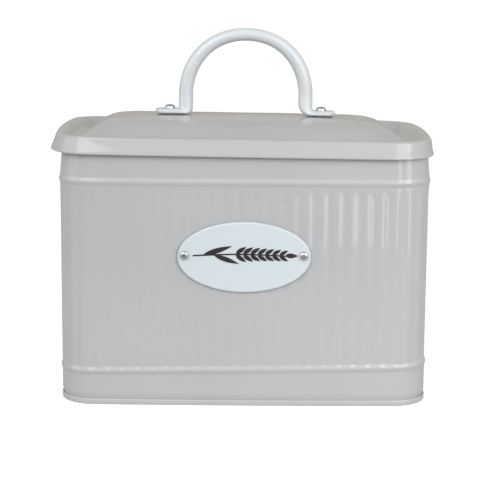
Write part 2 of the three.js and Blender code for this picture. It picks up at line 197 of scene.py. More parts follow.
def plan_outline(half_x, half_y, corner, side_bow, counts=SMOOTH):
    """A rounded rectangle with swelling sides, counter-clockwise from the right side."""
    points = []
    per_corner, per_panel, per_side = counts
    for turn in range(4):
        sign_x = 1 if turn in (0, 3) else -1
        sign_y = 1 if turn < 2 else -1
        centre = np.array([sign_x * (half_x - corner), sign_y * (half_y - corner)])
        for step in range(per_corner + 1):
            angle = math.pi / 2 * (turn + step / per_corner)
            points.append(centre + corner * np.array([math.cos(angle), math.sin(angle)]))
        if turn % 2 == 0:
            between, run = per_panel, np.array([-2 * sign_x * (half_x - corner), 0])
        else:
            between, run = per_side, np.array([0, -2 * sign_y * (half_y - corner)])
        start = points[-1]
        points += [start + run * step / between for step in range(1, between)]
    points = np.array(points)
    scale = half_x / HALF_X
    u = points[:, 0] / half_x
    v = points[:, 1] / half_y
    x = points[:, 0] + scale * side_bow * u * (1 - v**2)
    y = points[:, 1] + scale * FRONT_BOW * v * (1 - u**2)
    return np.stack([x, y], axis=1)


def outward(points):
    """Unit normals of a counter-clockwise outline."""
    along = np.roll(points, -1, axis=0) - np.roll(points, 1, axis=0)
    along /= np.linalg.norm(along, axis=1, keepdims=True)
    return np.stack([along[:, 1], -along[:, 0]], axis=1)


def at_height(plan, z):
    """A flat outline lifted to one height, or to a height for each of its points."""
    return np.column_stack([plan, np.broadcast_to(z, len(plan))])


# ---- Body shell ----------------------------------------------------------------------------------


def bead_rows(centre):
    """Offset and height across one swaged bead."""
    return [
        (BEAD_PROUD * (1 - t**2) ** 2, centre + t * BEAD_HALF_WIDTH)
        for t in np.linspace(-1, 1, 19)
    ]


def wall_rows():
    """Offset and height of the wall's outer face from its foot to the mouth curl."""
    low = LOWER_BEAD_Z + BEAD_HALF_WIDTH
    high = UPPER_BEAD_Z - BEAD_HALF_WIDTH
    rows = [(-FOOT_INSET, PAN_SHEET + CLEARANCE)]
    for z in np.linspace(BAND_TOP_Z, low - 2 * BEAD_HALF_WIDTH - 0.5, 12):
        rows.append((-FOOT_INSET * (1 - smoothstep(BAND_TOP_Z + 0.1, BAND_TOP_Z + 3, z)), z))
    rows += bead_rows(LOWER_BEAD_Z)
    rows += [(0, z) for z in np.linspace(low, low + 5, 9)[1:]]
    rows += [(0, z) for z in np.linspace(low + 5, high - 10, 14)[1:-1]]
    rows += [(0, z) for z in np.linspace(high - 10, high, 18)[:-1]]
    rows += bead_rows(UPPER_BEAD_Z)
    rows += [(0, z) for z in np.linspace(high + 2 * BEAD_HALF_WIDTH + 0.6, MOUTH_Z, 11)]
    return rows


def waviness(x, y, z):
    """The faint unevenness that pressing and enamelling leave in thin sheet."""
    broad = np.sin(0.052 * x + 0.9) * np.sin(0.041 * z + 0.4) + np.sin(0.06 * y + 1.7)
    close = np.sin(0.16 * x + 0.11 * z + 0.3) * np.sin(0.13 * z - 0.07 * x + 0.12 * y)
    return 0.07 * broad + 0.045 * close


def body_shell(material):
    """The wall: flutes between two beads, the lock seam behind and the curl at the mouth."""
    plan = plan_outline(HALF_X, HALF_Y, BODY_CORNER, SIDE_BOW, FINE)
    normals = outward(plan)
    steps = np.linalg.norm(np.roll(plan, -1, axis=0) - plan, axis=1)
    distance = np.concatenate([[0], np.cumsum(steps)[:-1]])
    flutes = round(steps.sum() / FLUTE_PITCH)
    wave = 0.5 - 0.5 * np.cos(2 * math.pi * distance * flutes / steps.sum())
    from_seam = np.abs(plan[:, 0]) + np.where(plan[:, 1] > 0, 0, 1000)
    seam = 1 - smoothstep(SEAM_WIDTH / 2 - 0.35, SEAM_WIDTH / 2 + 0.35, from_seam)
    beside_seam = smoothstep(SEAM_WIDTH / 2 + 1, SEAM_WIDTH / 2 + 5, from_seam)
    # Each flute ends at a slightly different height under the upper bead.
    ragged = 0.9 * np.sin(distance * 0.113) + 0.6 * np.sin(distance * 0.47 + 1)

    def ring(offset, z, inside=False):
        """The wall's outline at one height, moved out by an offset."""
        nearness = np.clip(1 - abs(z - LOWER_BEAD_Z) / 16, 0, 1)
        height = z + LOWER_BEAD_SLOPE * plan[:, 0] * nearness
        low = smoothstep(LOWER_BEAD_Z - 0.6, LOWER_BEAD_Z + 2.6, z)
        high = 1 - smoothstep(-7.5, -3.4, z - UPPER_BEAD_Z + ragged)
        sink = FLUTE_DEPTH * wave**1.25 * low * high * beside_seam
        sink = sink - waviness(plan[:, 0], plan[:, 1], z) * smoothstep(4, 14, z)
        below_curl = 1 - smoothstep(MOUTH_Z - 1.2, MOUTH_Z - 0.4, z)
        above_band = smoothstep(BAND_TOP_Z, BAND_TOP_Z + 0.5, z)
        proud = 0 if inside else SEAM_PROUD * seam * above_band * below_curl
        draft = FOOT_DRAFT * (1 - z / UPPER_BEAD_Z)
        shoulder = UPPER_BEAD_Z + BEAD_HALF_WIDTH
        lean = MOUTH_INSET * np.clip((z - shoulder) / (MOUTH_Z - shoulder), 0, 1)
        lean = lean * (0.5 + 0.5 * np.abs(normals[:, 0]))
        grown = plan + normals * (offset - draft - lean - sink + proud)[:, None]
        return at_height(grown, height)

    rows = wall_rows()
    rings = [ring(offset, z) for offset, z in rows]
    for angle in np.linspace(0, 1.45 * math.pi, 18)[1:]:
        offset = CURL_RADIUS * (math.cos(angle) - 1)
        rings.append(ring(offset, MOUTH_Z + CURL_RADIUS * math.sin(angle), inside=True))
    below = [row for row in rows if row[1] < MOUTH_Z - 1.5]
    rings += [ring(offset - SHEET, z, inside=True) for offset, z in reversed(below)]
    faces = ring_faces(len(rings), len(plan), closed=True)
    vertices = np.vstack(rings)
    return new_piece(
        "body_skin", vertices, faces, material, "tin", ["body_shell"]
    )


# ---- Bottom pan ----------------------------------------------------------------------------------


def bottom_pan(material):
    """The bottom panel with its chuck wall inside and the rounded seam band outside."""
    hook = CLEARANCE - FOOT_INSET
    chuck = -FOOT_INSET - SHEET - CLEARANCE
    inner = chuck - SHEET
    top = PAN_RISE + PAN_SHEET
    band = BAND_TOP_Z
    profile = [
        (PANEL_START, PAN_RISE),
        (inner - 0.4, PAN_RISE),
        (inner - 0.1, PAN_RISE - 0.1),
        (inner, PAN_RISE - 0.4),
        (inner, 0.4),
        (inner + 0.1, 0.1),
        (inner + 0.4, 0),
        (PAN_PROUD - 0.6, 0),
        (PAN_PROUD - 0.25, 0.12),
        (PAN_PROUD - 0.05, 0.45),
        (PAN_PROUD, 0.9),
        (PAN_PROUD, band - 0.9),
        (PAN_PROUD - 0.06, band - 0.4),
        (PAN_PROUD - 0.25, band - 0.08),
        (PAN_PROUD - 0.5, band),
        (hook + 0.06, band - 0.06),
        (hook, band - 0.2),
        (hook, PAN_SHEET),
        (chuck, PAN_SHEET),
        (chuck, top - 0.4),
        (chuck - 0.1, top - 0.1),
        (chuck - 0.4, top),
        (PANEL_START, top),
    ]
    rings = []
    for offset, z in profile:
        grow = offset - FOOT_DRAFT
        plan = plan_outline(HALF_X + grow, HALF_Y + grow, BODY_CORNER + grow, SIDE_BOW)
        rings.append(at_height(plan, z))
    vertices, faces = capped(rings, (0, 0, PAN_RISE), (0, 0, top))
    piece = new_piece(
        "bottom_pan_fine", vertices, faces, material, "tin", ["bottom_pan"]
    )
    crease(piece)
    return piece


# ---- Lid -----------------------------------------------------------------------------------------


def lid_plan(offset):
    """The lid's outline at the skirt's edge, moved out by an offset."""
    corner = LID_CORNER + offset
    return plan_outline(LID_HALF_X + offset, LID_HALF_Y + offset, corner, LID_SIDE_BOW)


def arched(plan, z, arch):
    """A ring at a height, raised by an arch at the middle of the two narrow ends."""
    along_x = np.abs(plan[:, 0]) / (LID_HALF_X + LID_SIDE_BOW)
    along_y = plan[:, 1] / (LID_HALF_Y + 2)
    return at_height(plan, z + arch * along_x**6 * (1 - along_y**2))


def lid_edge():
    """Offset, height and end arch, up the skirt, over the rim, down to the valley."""
    points = [
        (0, SKIRT_Z + 0.45, HEM_ARCH),
        (0, SKIRT_Z + 1.0, HEM_ARCH),
        (-0.25, SKIRT_Z + 1.9, HEM_ARCH),
        (-1.25, SKIRT_Z + 4.7, 1.7),
        (-2.2, SKIRT_Z + 7.6, 1.5),
        (-2.45, RIM_TOP_Z - 1.5, 1.4),
        (-2.75, RIM_TOP_Z - 0.75, RIM_ARCH),
        (-3.5, RIM_TOP_Z - 0.12, RIM_ARCH),
        (-4.8, RIM_TOP_Z, RIM_ARCH),
        (-6.2, RIM_TOP_Z - 0.35, RIM_ARCH),
        (-7.6, RIM_TOP_Z - 1.4, 1),
        (-9, VALLEY_Z + 1.5, 0.6),
        (-9.9, VALLEY_Z + 0.5, 0.25),
        (-10.6, VALLEY_Z + 0.2, 0),
    ]
    return smooth_profile(points)


def dome_rings():
    """Up the dome's flank and over its nearly flat crown."""
    shoulder = DOME_TOP_Z - CROWN_SAG
    rings = []
    for t in np.linspace(0, 1, 36) ** 1.3:
        inset = DOME_REACH * t
        half_x, half_y = DOME_HALF_X - inset, DOME_HALF_Y - inset
        corner = DOME_CORNER - DOME_TIGHTENING * inset
        plan = plan_outline(half_x, half_y, corner, DOME_SIDE_BOW)
        eased = 1.2 * t**2 / (t + 0.2)
        fall = (1 - eased) ** 3 * (1 + 1.5 * eased)
        rings.append(at_height(plan, shoulder - (shoulder - VALLEY_Z - 0.2) * fall))
    for share in np.linspace(1, 0.06, 12)[1:]:
        reach_x = half_x - half_y * (1 - share) * (1 + 1.9 * (1 - share))
        corner = (DOME_CORNER - DOME_TIGHTENING * DOME_REACH) * share
        plan = plan_outline(reach_x, half_y * share, corner, DOME_SIDE_BOW * share)
        rings.append(at_height(plan, DOME_TOP_Z - CROWN_SAG * share**2))
    return rings


def askew(vertices, place):
    """Lid pieces as they rest on the mouth: tilted a little, moved sideways and back."""
    x, y, z = np.asarray(vertices, float).T
    angle = math.radians(LID_TILT)
    c, s = math.cos(angle), math.sin(angle)
    height = z - RIM_TOP_Z
    across = x * c + height * s + place[0]
    upward = height * c - x * s + RIM_TOP_Z + place[1]
    return np.column_stack([across, y + LID_BACK, upward])


def pressing_flaws(ring):
    """Slight unevenness of the pressed lid, and its steeper right end."""
    x, y, z = ring.T
    amount = smoothstep(SKIRT_Z + 1, SKIRT_Z + 6, z)
    wave = 0.1 * np.sin(0.055 * x + 0.6) * np.sin(0.07 * y + 0.4)
    wave = wave + 0.05 * np.sin(0.13 * x - 0.09 * y + 1.1)
    steep = smoothstep(SKIRT_Z + 3, RIM_TOP_Z - 0.5, z)
    steeper = RIGHT_STEEPENING * smoothstep(0.75, 0.98, x / LID_HALF_X) * steep
    return np.column_stack([x + steeper, y, z + (wave - 0.12) * amount])


def lid_shell(material):
    """One pressing: the hemmed skirt, the rim, the valley and the dome, and their inside."""
    edge = [arched(lid_plan(offset), z, arch) for offset, z, arch in lid_edge()]
    outer = [pressing_flaws(ring) for ring in edge + dome_rings()]
    inner = []
    for i, ring in enumerate(outer):
        before = outer[max(i - 1, 0)]
        after = outer[min(i + 1, len(outer) - 1)]
        around = np.roll(ring, -1, axis=0) - np.roll(ring, 1, axis=0)
        normal = np.cross(around, after - before)
        normal /= np.linalg.norm(normal, axis=1, keepdims=True)
        if ring[:, 2].min() > SKIRT_Z + 2.4:
            inner.append(ring - normal * SHEET)
    hem = [
        (-HEM_THICKNESS, SKIRT_Z + 1.9),
        (-HEM_THICKNESS, SKIRT_Z + 0.5),
        (0.15 - HEM_THICKNESS, SKIRT_Z + 0.15),
        (0.45 - HEM_THICKNESS, SKIRT_Z),
        (-0.45, SKIRT_Z),
        (-0.13, SKIRT_Z + 0.14),
    ]
    fold = [arched(lid_plan(offset), z, HEM_ARCH) for offset, z in hem]
    rings = inner[::-1] + fold + outer
    under = (0, 0, inner[-1][:, 2].mean())
    over = (0, 0, outer[-1][:, 2].mean())
    vertices, faces = capped(rings, under, over)
    placed = askew(vertices, LID_PLACE)
    return new_piece(
        "lid_pressing", placed, faces, material, "lid", ["lid_shell"]
    )


# ---- Handle --------------------------------------------------------------------------------------

ROD_RADIUS = 4.25
ARCH_RADIUS = 35.95
ARCH_FULLNESS = 0.6  # how far the arch bulges beyond a circle at its two shoulders
CROWN_THINNING = 0.45
TAB_THICKNESS = 3.6
BEND_INSIDE = 1.5
RIGHT_BEND = 7.5  # radius round the outside of the bend
LEFT_BEND = 3.6


def section(low_side, high_side, half_width, power):
    """A rounded cross-section of the handle between two points of its front outline."""
    a, b = np.array(low_side), np.array(high_side)
    return (a + b) / 2, (b - a) / 2, half_width, power


def handle_foot(bend):
    """Cross-sections from the tab's rounded end, along the tab and round the bend."""
    low = HANDLE_LOW[2]
    high = low + TAB_THICKNESS
    half = (HANDLE_HIGH[1] - HANDLE_LOW[1]) / 2
    tab_x = HANDLE_HIGH[0] - half
    inside, outside = ARCH_RADIUS - ROD_RADIUS, ARCH_RADIUS + ROD_RADIUS
    sections = []
    for angle in np.linspace(0.06, math.pi / 2, 14):
        x = tab_x + half * math.cos(angle)
        width = half * math.sin(angle)
        ease = 0.95 * (1 - smoothstep(0, 4.5, width))
        sections.append(section((x, low + ease), (x, high - ease), width, 2.7))
    for t in np.linspace(0, 1, 7)[1:]:
        bottom = (tab_x + (inside + bend - tab_x) * t, low)
        top = (tab_x + (outside + BEND_INSIDE - tab_x) * t, high)
        sections.append(section(bottom, top, half - 0.3 * t, 2.7))
    for t in np.linspace(0, 1, 15)[1:]:
        s, c = math.sin(t * math.pi / 2), math.cos(t * math.pi / 2)
        bottom = (inside + bend * (1 - s), low + bend * (1 - c))
        top = (outside + BEND_INSIDE * (1 - s), high + BEND_INSIDE * (1 - c))
        width = half - 0.3 + (ROD_RADIUS + 0.65 - half) * smoothstep(0, 1, t)
        sections.append(section(bottom, top, width, 2.7 - 0.3 * t))
    return sections


def handle_arch(bend):
    """Cross-sections up the right leg and round to the middle of the crown."""
    spring = HANDLE_HIGH[2] - ROD_RADIUS - ARCH_RADIUS - HANDLE_PLACE[1]
    foot = HANDLE_LOW[2] + bend
    foot_outside = HANDLE_LOW[2] + TAB_THICKNESS + BEND_INSIDE
    inside, outside = ARCH_RADIUS - ROD_RADIUS, ARCH_RADIUS + ROD_RADIUS
    sections = []
    for t in np.linspace(0, 1, 7)[1:]:
        near = (inside, foot + (spring - foot) * t)
        far = (outside, foot_outside + (spring - foot_outside) * t)
        sections.append(section(near, far, ROD_RADIUS + 0.35 * (1 - t), 2.4 - 0.4 * t))
    for angle in np.linspace(0, math.pi / 2, 40)[1:]:
        thin = CROWN_THINNING * smoothstep(0.3, 1.4, angle)
        full = ARCH_FULLNESS * math.sin(2 * angle) ** 2
        way = np.array([math.cos(angle), math.sin(angle)])
        near = (inside + full + 2 * thin) * way + (0, spring)
        far = (outside + full) * way + (0, spring)
        sections.append(section(near, far, ROD_RADIUS - 0.5 * thin, 2))
    return sections


def handle_piece(material):
    """One bent rod, flattened at both ends; its two feet are bent differently."""
    right = handle_foot(RIGHT_BEND) + handle_arch(RIGHT_BEND)
    left = [
        (centre * (-1, 1), reach * (-1, 1), width, power)
        for centre, reach, width, power in handle_foot(LEFT_BEND) + handle_arch(LEFT_BEND)[:-1]
    ]
    turns = -np.arange(44) / 44 * 2 * math.pi
    c, s = np.cos(turns), np.sin(turns)
    rings = []
    for (x, z), (dx, dz), width, power in right + left[::-1]:
        across = np.sign(c) * np.abs(c) ** (2 / power) * width
        out = np.sign(s) * np.abs(s) ** (2 / power)
        rings.append(np.column_stack([x + out * dx, across, z + out * dz]))
    tip = np.array([0.2, 0, 0])
    vertices, faces = capped(rings, rings[0].mean(axis=0) + tip, rings[-1].mean(axis=0) - tip)
    placed = askew(vertices, HANDLE_PLACE)
    return new_piece("handle_bar", placed, faces, material, "lid", ["handle"])


# ---- Oval plate ----------------------------------------------------------------------------------

PLATE_EDGE = 0.7
PLATE_CROWN = 0.22
PLATE_BACK = 0.3  # depth of the softened edge at the plate's back


def plate_front(x, z):
    """How far the plate's gently domed face stands in front of its back."""
    half_w = (PLATE_HIGH[0] - PLATE_LOW[0]) / 2
    half_h = (PLATE_HIGH[2] - PLATE_LOW[2]) / 2
    out = (x / half_w) ** 2 + ((z - PLATE_Z) / half_h) ** 2
    return PLATE_HIGH[1] - PLATE_LOW[1] - PLATE_CROWN * out


def plate_ring(inset, depth=None):
    """An oval inside the plate's edge, on its domed face unless a depth is given."""
    c, s = circle(180).T
    x = ((PLATE_HIGH[0] - PLATE_LOW[0]) / 2 - inset) * c
    z = ((PLATE_HIGH[2] - PLATE_LOW[2]) / 2 - inset) * s + PLATE_Z
    forward = plate_front(x, z) if depth is None else np.full(len(x), depth)
    return np.column_stack([x, PLATE_HIGH[1] - forward, z])


def plate_piece(material):
    """A domed oval with a rounded edge, its back flat against the wall."""
    back = PLATE_HIGH[1]
    edge_depth = back - PLATE_LOW[1] - PLATE_CROWN
    rings = [plate_ring(0.4, 0), plate_ring(0.1, 0.1), plate_ring(0, PLATE_BACK)]
    for angle in np.linspace(0, math.pi / 2, 8)[1:-1]:
        depth = PLATE_BACK + (edge_depth - PLATE_BACK) * math.sin(angle)
        rings.append(plate_ring(PLATE_EDGE * (1 - math.cos(angle)), depth))
    half_h = (PLATE_HIGH[2] - PLATE_LOW[2]) / 2
    rings += [plate_ring(inset) for inset in np.linspace(PLATE_EDGE, half_h - 0.4, 14)]
    middle = (0, back - plate_front(0, PLATE_Z), PLATE_Z)
    vertices, faces = capped(rings, (0, back, PLATE_Z), middle)
    return new_piece(
        "oval_plate", vertices, faces, material, "tin", ["label_plate"]
    )


# ---- Grain motif on the plate --------------------------------------------------------------------

STEM_LEFT, STEM_RIGHT = -29.0, 24.0
MOTIF_RISE = 0.9  # middle of the motif above the middle of the plate
PRINT_THICKNESS = 0.12
PRINT_SINK = 0.05  # how far the print reaches into the plate


def leaf(length, width, lean=0.62):
    """Outline of a pointed leaf or kernel along +x, its base at the origin."""
    t = np.linspace(0, 1, 17)
    half = width / 2 * np.sin(math.pi * t**lean) ** 0.9
    upper = np.column_stack([length * t, half])
    return np.vstack([upper[::-1], upper[1:-1] * (1, -1)])


def turned(outline, degrees, x, z):
    """An outline turned about its base and set down with the base at a point."""
    angle = math.radians(degrees)
    c, s = math.cos(angle), math.sin(angle)
    turned_x = outline[:, 0] * c - outline[:, 1] * s + x
    turned_z = outline[:, 0] * s + outline[:, 1] * c + z
    return np.column_stack([turned_x, turned_z])


def stem_height(x):
    """How far the stem's gentle arch rises above its two ends."""
    return 0.9 * np.sin((x - STEM_LEFT) / (STEM_RIGHT - STEM_LEFT) * math.pi)


def motif_outlines():
    """A lying ear of grain: stem, two leaves, paired kernels and a kernel at the end."""
    x = np.linspace(STEM_LEFT, STEM_RIGHT, 30)
    stem = np.column_stack([x, stem_height(x)])
    outlines = [np.vstack([stem[::-1] + (0, 0.42), stem - (0, 0.42)])]
    outlines.append(turned(leaf(17, 3.0, 0.8), 17, -23, stem_height(-23) + 0.3))
    outlines.append(turned(leaf(15, 2.8, 0.8), -19, -17, stem_height(-17) - 0.3))
    for i in range(7):
        x = -4.6 + 4.1 * i
        kernel = leaf(6.9 - 0.25 * i, 2.5 - 0.07 * i, 0.75)
        for side in (1, -1):
            outlines.append(turned(kernel, side * (34 - i), x, stem_height(x) + side * 0.5))
    outlines.append(turned(leaf(7, 2.8, 0.7), -2, 23.4, 0.35))
    return outlines


def motif_piece(material):
    """The motif as a thin raised print that follows the plate's domed face."""
    vertices, faces = [], []
    for outline in motif_outlines():
        x, z = outline[:, 0], outline[:, 1] + PLATE_Z + MOTIF_RISE
        face_y = PLATE_HIGH[1] - plate_front(x, z)
        count, start = len(outline), len(vertices)
        vertices += np.column_stack([x, face_y - PRINT_THICKNESS, z]).tolist()
        vertices += np.column_stack([x, face_y + PRINT_SINK, z]).tolist()
        faces.append(tuple(range(start, start + count)))
        faces.append(tuple(range(start + 2 * count - 1, start + count - 1, -1)))
        for i in range(count):
            k = (i + 1) % count
            faces.append((start + k, start + i, start + count + i, start + count + k))
    piece = new_piece("grain_motif", vertices, faces, material, "tin")
    crease(piece)
    return piece


# ---- Screws, washers and nuts --------------------------------------------------------------------

FASTENER_SIDES = 48


def lathe(profile):
    """Vertices and faces of a profile of (radius, height) turned about +z."""
    rings = [at_height(circle(FASTENER_SIDES) * radius, z) for radius, z in profile[1:-1]]
    return capped(rings, (0, 0, profile[0][1]), (0, 0, profile[-1][1]))


def cross_cutter(reach, corner, depth, top):
    """A tapered cross whose lower end sits below the top of a screw head."""
    arm = np.array([(reach, -corner), (reach, corner), (corner, corner)])
    outline = []
    for quarter in range(4):
        c, s = round(math.cos(quarter * math.pi / 2)), round(math.sin(quarter * math.pi / 2))
        outline.append(arm @ np.array([[c, s], [-s, c]]))
    outline = np.vstack(outline)
    rings = [at_height(outline * 0.45, top - depth), at_height(outline * 1.15, top + 1)]
    return capped(rings, (0, 0, top - depth), (0, 0, top + 1))


def cut(solid, cutter):
    """Vertices and faces of a solid less a cutter."""
    blocks = []
    for name, (vertices, faces) in (("cut_solid", solid), ("cut_cutter", cutter)):
        mesh = bpy.data.meshes.new(name)
        mesh.from_pydata(np.asarray(vertices).tolist(), [], faces)
        block = bpy.data.objects.new(name, mesh)
        bpy.context.scene.collection.objects.link(block)
        blocks.append(block)
    step = blocks[0].modifiers.new("cut", "BOOLEAN")
    step.object = blocks[1]
    step.solver = "EXACT"
    finished = blocks[0].evaluated_get(bpy.context.evaluated_depsgraph_get())
    mesh = finished.to_mesh()
    vertices = np.array([vertex.co[:] for vertex in mesh.vertices])
    faces = [tuple(polygon.vertices) for polygon in mesh.polygons]
    finished.to_mesh_clear()
    for block in blocks:
        bpy.data.meshes.remove(block.data)
    return vertices, faces


def screw_shape(head, height, shank, length):
    """A pan-head screw along +z, the end of its shank at the origin."""
    seat = length
    profile = [(0, 0), (shank - 0.35, 0), (shank, 0.35), (shank, seat)]
    profile += [(head - 0.15, seat), (head, seat + 0.12), (head, seat + 0.32 * height)]
    for angle in np.linspace(0.25, math.pi / 2, 9)[:-1]:
        z = seat + height * (0.32 + 0.68 * math.sin(angle) ** 1.1)
        profile.append((head * (0.12 + 0.88 * math.cos(angle) ** 0.7), z))
    profile.append((0, seat + height))
    cutter = cross_cutter(0.66 * head, 0.15 * head, 0.62 * height, seat + height)
    return cut(lathe(profile), cutter)


def washer_shape(bore, outer, thickness):
    """A washer along +z with softened edges, its lower face at the origin."""
    soft = 0.12
    wall = [(outer - soft, 0), (outer, soft), (outer, thickness - soft), (outer - soft, thickness)]
    hole = [(bore + soft, thickness), (bore, thickness - soft), (bore, soft), (bore + soft, 0)]
    rings = [at_height(circle(FASTENER_SIDES) * radius, z) for radius, z in wall + hole]
    return np.vstack(rings), ring_faces(len(rings), FASTENER_SIDES, closed=True)


def nut_shape(bore, across, height):
    """A hexagon nut along +z: chamfered corners and a countersunk bore."""
    sides = 2 * FASTENER_SIDES
    turns = np.arange(sides) / sides * 2 * math.pi
    around = circle(sides)
    hexagon = across / 2 / np.cos(turns % (math.pi / 3) - math.pi / 6)
    rings = []
    chamfer = ((0.97, 0), (1.08, 0.2), (1.2, 0.5), (1.2, height - 0.5), (1.08, height - 0.2))
    for limit, z in chamfer:
        radius = np.minimum(hexagon, limit * across / 2)
        rings.append(at_height(around * radius[:, None], z))
    rings.append(at_height(around * 0.97 * across / 2, height))
    sink = 0.35
    hole = [(bore + sink, height), (bore, height - sink), (bore, sink), (bore + sink, 0)]
    rings += [at_height(around * radius, z) for radius, z in hole]
    return np.vstack(rings), ring_faces(len(rings), sides, closed=True)


def fine_fastener(node, shape, turn, material):
    """A finer fastener in a CAD one's place: forward on the tin, upright on the lid."""
    vertices, faces = shape
    low, high = mm_box(node)
    c, s = math.cos(turn), math.sin(turn)
    x = vertices[:, 0] * c - vertices[:, 1] * s
    y = vertices[:, 0] * s + vertices[:, 1] * c
    z = vertices[:, 2]
    middle = (low + high) / 2
    body = "tin" if node.startswith("plate") else "lid"
    if body == "tin":
        placed = np.column_stack([x + middle[0], high[1] - z, y + middle[2]])
    else:
        upright = np.column_stack([x + middle[0], y + middle[1], z + low[2]])
        placed = askew(upright, HANDLE_PLACE)
    piece = new_piece(f"{node}_fine", placed, faces, material, body, [node])
    crease(piece, 28)


def width_and_length(node, axis):
    """A fastener's size across, and along its axis."""
    low, high = mm_box(node)
    span = high - low
    return span[0], span[axis]


def fasteners(steel):
    """Screws, washers and nuts of the plate and of the handle; screws and nuts are turned."""
    for kind, axis, shank, head in (("plate", 1, 1.2, 1.8), ("handle", 2, 1.5, 2.6)):
        for side, turn in (("left", 0.35), ("right", 0.95)):
            screw, washer, nut = (f"{kind}_{what}_{side}" for what in ("screw", "washer", "nut"))
            width, length = width_and_length(screw, axis)
            shape = screw_shape(width / 2, head, shank, length - head)
            fine_fastener(screw, shape, turn + 0.1 * axis, steel)
            width, length = width_and_length(washer, axis)
            fine_fastener(washer, washer_shape(shank + 0.15, width / 2, length), 0, steel)
            width, length = width_and_length(nut, axis)
            shape = nut_shape(shank + 0.1, width * math.cos(math.pi / 6), length)
            fine_fastener(nut, shape, 2 * turn, steel)


# ---- Materials -----------------------------------------------------------------------------------


class Nodes:
    """Short calls for building a node material."""

    def __init__(self, name):
        self.material = bpy.data.materials.new(name)
        self.material.use_nodes = True
        self.tree = self.material.node_tree
        self.shader = self.tree.nodes["Principled BSDF"]
        self.coords = self.tree.nodes.new("ShaderNodeTexCoord").outputs["Object"]

    def link(self, source, target):
        self.tree.links.new(source, self.shader.inputs[target])

    def noise(self, scale, detail=3.0):
        node = self.tree.nodes.new("ShaderNodeTexNoise")
        node.inputs["Scale"].default_value = scale
        node.inputs["Detail"].default_value = detail
        self.tree.links.new(self.coords, node.inputs["Vector"])
        return node.outputs["Fac"]

    def ramp(self, source, stops):
        node = self.tree.nodes.new("ShaderNodeValToRGB")
        for element, (position, colour) in zip(node.color_ramp.elements, stops):
            element.position = position
            element.color = (*colour, 1)
        self.tree.links.new(source, node.inputs["Fac"])
        return node.outputs["Color"]

    def multiply(self, first, second):
        node = self.tree.nodes.new("ShaderNodeVectorMath")
        node.operation = "MULTIPLY"
        self.tree.links.new(first, node.inputs[0])
        self.tree.links.new(second, node.inputs[1])
        return node.outputs["Vector"]

    def spread(self, source, low, high):
        node = self.tree.nodes.new("ShaderNodeMapRange")
        node.inputs["To Min"].default_value = low
        node.inputs["To Max"].default_value = high
        self.tree.links.new(source, node.inputs["Value"])
        return node.outputs["Result"]

    def bump(self, source, strength, distance, below=None):
        node = self.tree.nodes.new("ShaderNodeBump")
        node.inputs["Strength"].default_value = strength
        node.inputs["Distance"].default_value = distance
        self.tree.links.new(source, node.inputs["Height"])
        if below is not None:
            self.tree.links.new(below, node.inputs["Normal"])
        return node.outputs["Normal"]


def grey(value):
    """A colour with no hue."""
    return (value, value, value)


def enamel(name, colour, drift=0.97, gloss=(0.3, 0.4), coat=0.8):
    """Glossy baked enamel: slow colour drift, faint specks, orange peel and a clear top coat."""
    nodes = Nodes(name)
    dark = tuple(value * drift for value in colour)
    drifted = nodes.ramp(nodes.noise(16, 4), [(0.36, dark), (0.64, colour)])
    specks = nodes.ramp(nodes.noise(330, 2), [(0.2, grey(0.72)), (0.235, grey(1))])
    nodes.link(nodes.multiply(drifted, specks), "Base Color")
    nodes.link(nodes.spread(nodes.noise(70), *gloss), "Roughness")
    peel = nodes.bump(nodes.noise(380, 2), 0.08, 0.0003)
    nodes.link(nodes.bump(nodes.noise(85, 2), 0.05, 0.0012, peel), "Normal")
    nodes.shader.inputs["Coat Weight"].default_value = coat
    nodes.shader.inputs["Coat Roughness"].default_value = 0.04
    nodes.shader.inputs["Specular IOR Level"].default_value = 0.25
    return nodes.material


def bright_steel(name):
    """Zinc-plated steel: fine turning marks, cloudy roughness and a darker and lighter tone that varies
    at random.
    """
    nodes = Nodes(name)
    tint = nodes.ramp(nodes.noise(900, 4), [(0.3, grey(0.44)), (0.7, (0.68, 0.69, 0.7))])
    nodes.link(tint, "Base Color")
    nodes.link(nodes.spread(nodes.noise(700), 0.2, 0.36), "Roughness")
    nodes.link(nodes.bump(nodes.noise(2500, 2), 0.15, 0.0001), "Normal")
    nodes.shader.inputs["Metallic"].default_value = 1.0
    return nodes.material


def print_ink(name):
    """Fired brown-black print, slightly uneven where it was laid on."""
    nodes = Nodes(name)
    stops = [(0.3, (0.012, 0.009, 0.009)), (0.7, (0.022, 0.017, 0.016))]
    nodes.link(nodes.ramp(nodes.noise(240, 4), stops), "Base Color")
    nodes.link(nodes.spread(nodes.noise(300), 0.3, 0.5), "Roughness")
    nodes.link(nodes.bump(nodes.noise(900, 2), 0.12, 0.0001), "Normal")
    return nodes.material


# ---- Studio --------------------------------------------------------------------------------------

BACKDROP = (1.05, 1.05, 1.05)  # what the camera sees behind the tin
BY_DEPTH = ((0.1, grey(1)), (0.45, grey(0.85)), (0.62, (0.5, 0.475, 0.44)))
BY_HEIGHT = ((0, grey(0.3)), (0.48, grey(0.72)), (0.62, grey(1.24)), (0.85, grey(0.9)), (1, grey(0.46)))
FLOOR_GLOW = 0.22  # given off to everything
FLOOR_WHITE = 0.6  # added where the camera looks straight at the paper
FLOOR_SIZE = 8.0  # from the middle to each side, in metres
DARK_Y, LIT_Y = -0.6, -0.2  # the paper's light fades between these places in front of the tin
AIM_Z = 0.14  # the softboxes that stand higher face this height on the tin's middle line

CAMERA_PLACE = (-0.0006, -0.82, 0.2375)
CAMERA_DOWN = 8.6  # degrees below the horizon
CAMERA_ROLL = -0.4
CAMERA_LENS = 100.2
CAMERA_SHIFT = -0.1039


